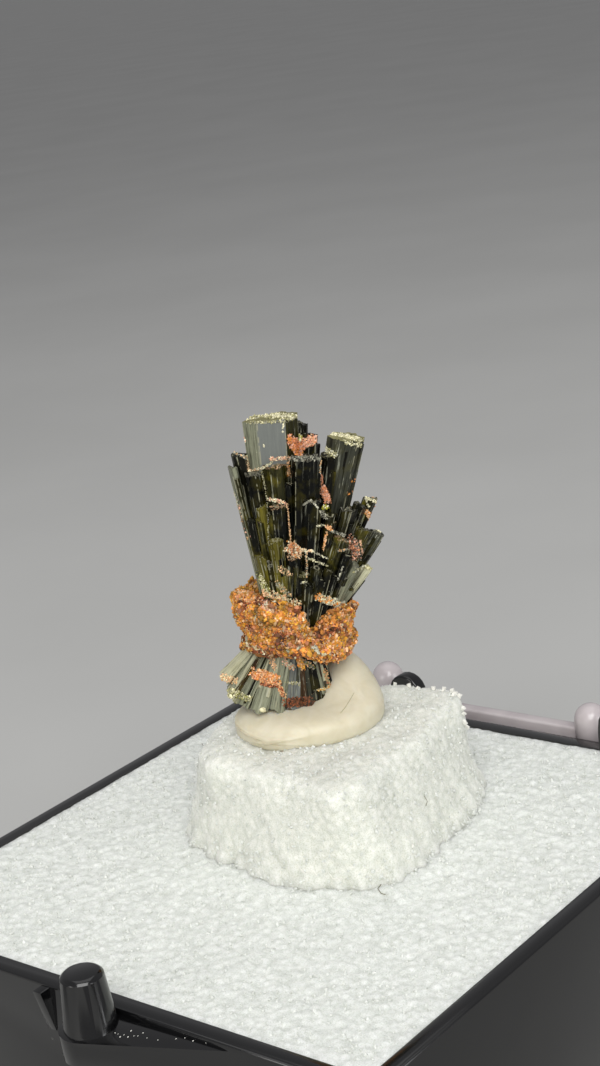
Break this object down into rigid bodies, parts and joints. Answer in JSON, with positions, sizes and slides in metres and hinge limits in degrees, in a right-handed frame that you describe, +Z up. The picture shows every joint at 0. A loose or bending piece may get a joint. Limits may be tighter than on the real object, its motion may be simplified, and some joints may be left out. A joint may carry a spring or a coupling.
{
  "type": "epidote crystal specimen on a display box base",
  "caption": "Dark green-black epidote sheaf with an iron-stained crust, set in mineral putty on a white foam block in a small black display box base.",
  "frame": {"origin": "centre of the box base's underside", "axes": "+Z up; +X towards the side with the hinge rail, -X towards the side with the catch tab and peg"},
  "size_m": [0.0367, 0.0318, 0.0298],
  "materials": {
    "black_styrene": "moulded, glossy, black",
    "clear_styrene": "moulded, clear with a faint pink edge",
    "foam": "expanded bead foam, cut, white",
    "putty": "pressed by hand, soft satin, cream",
    "epidote": "striated prisms, vitreous, dark green to black",
    "crust": "granular iron-stained crust, dull, orange-brown"
  },
  "bodies": {
    "root": {"box_base": "black_styrene", "hinge_rail": "clear_styrene", "foam_pad": "foam", "foam_block": "foam", "mineral_putty": "putty", "epidote_crystals": "epidote", "iron_crust": "crust"}
  },
  "joints": []
}
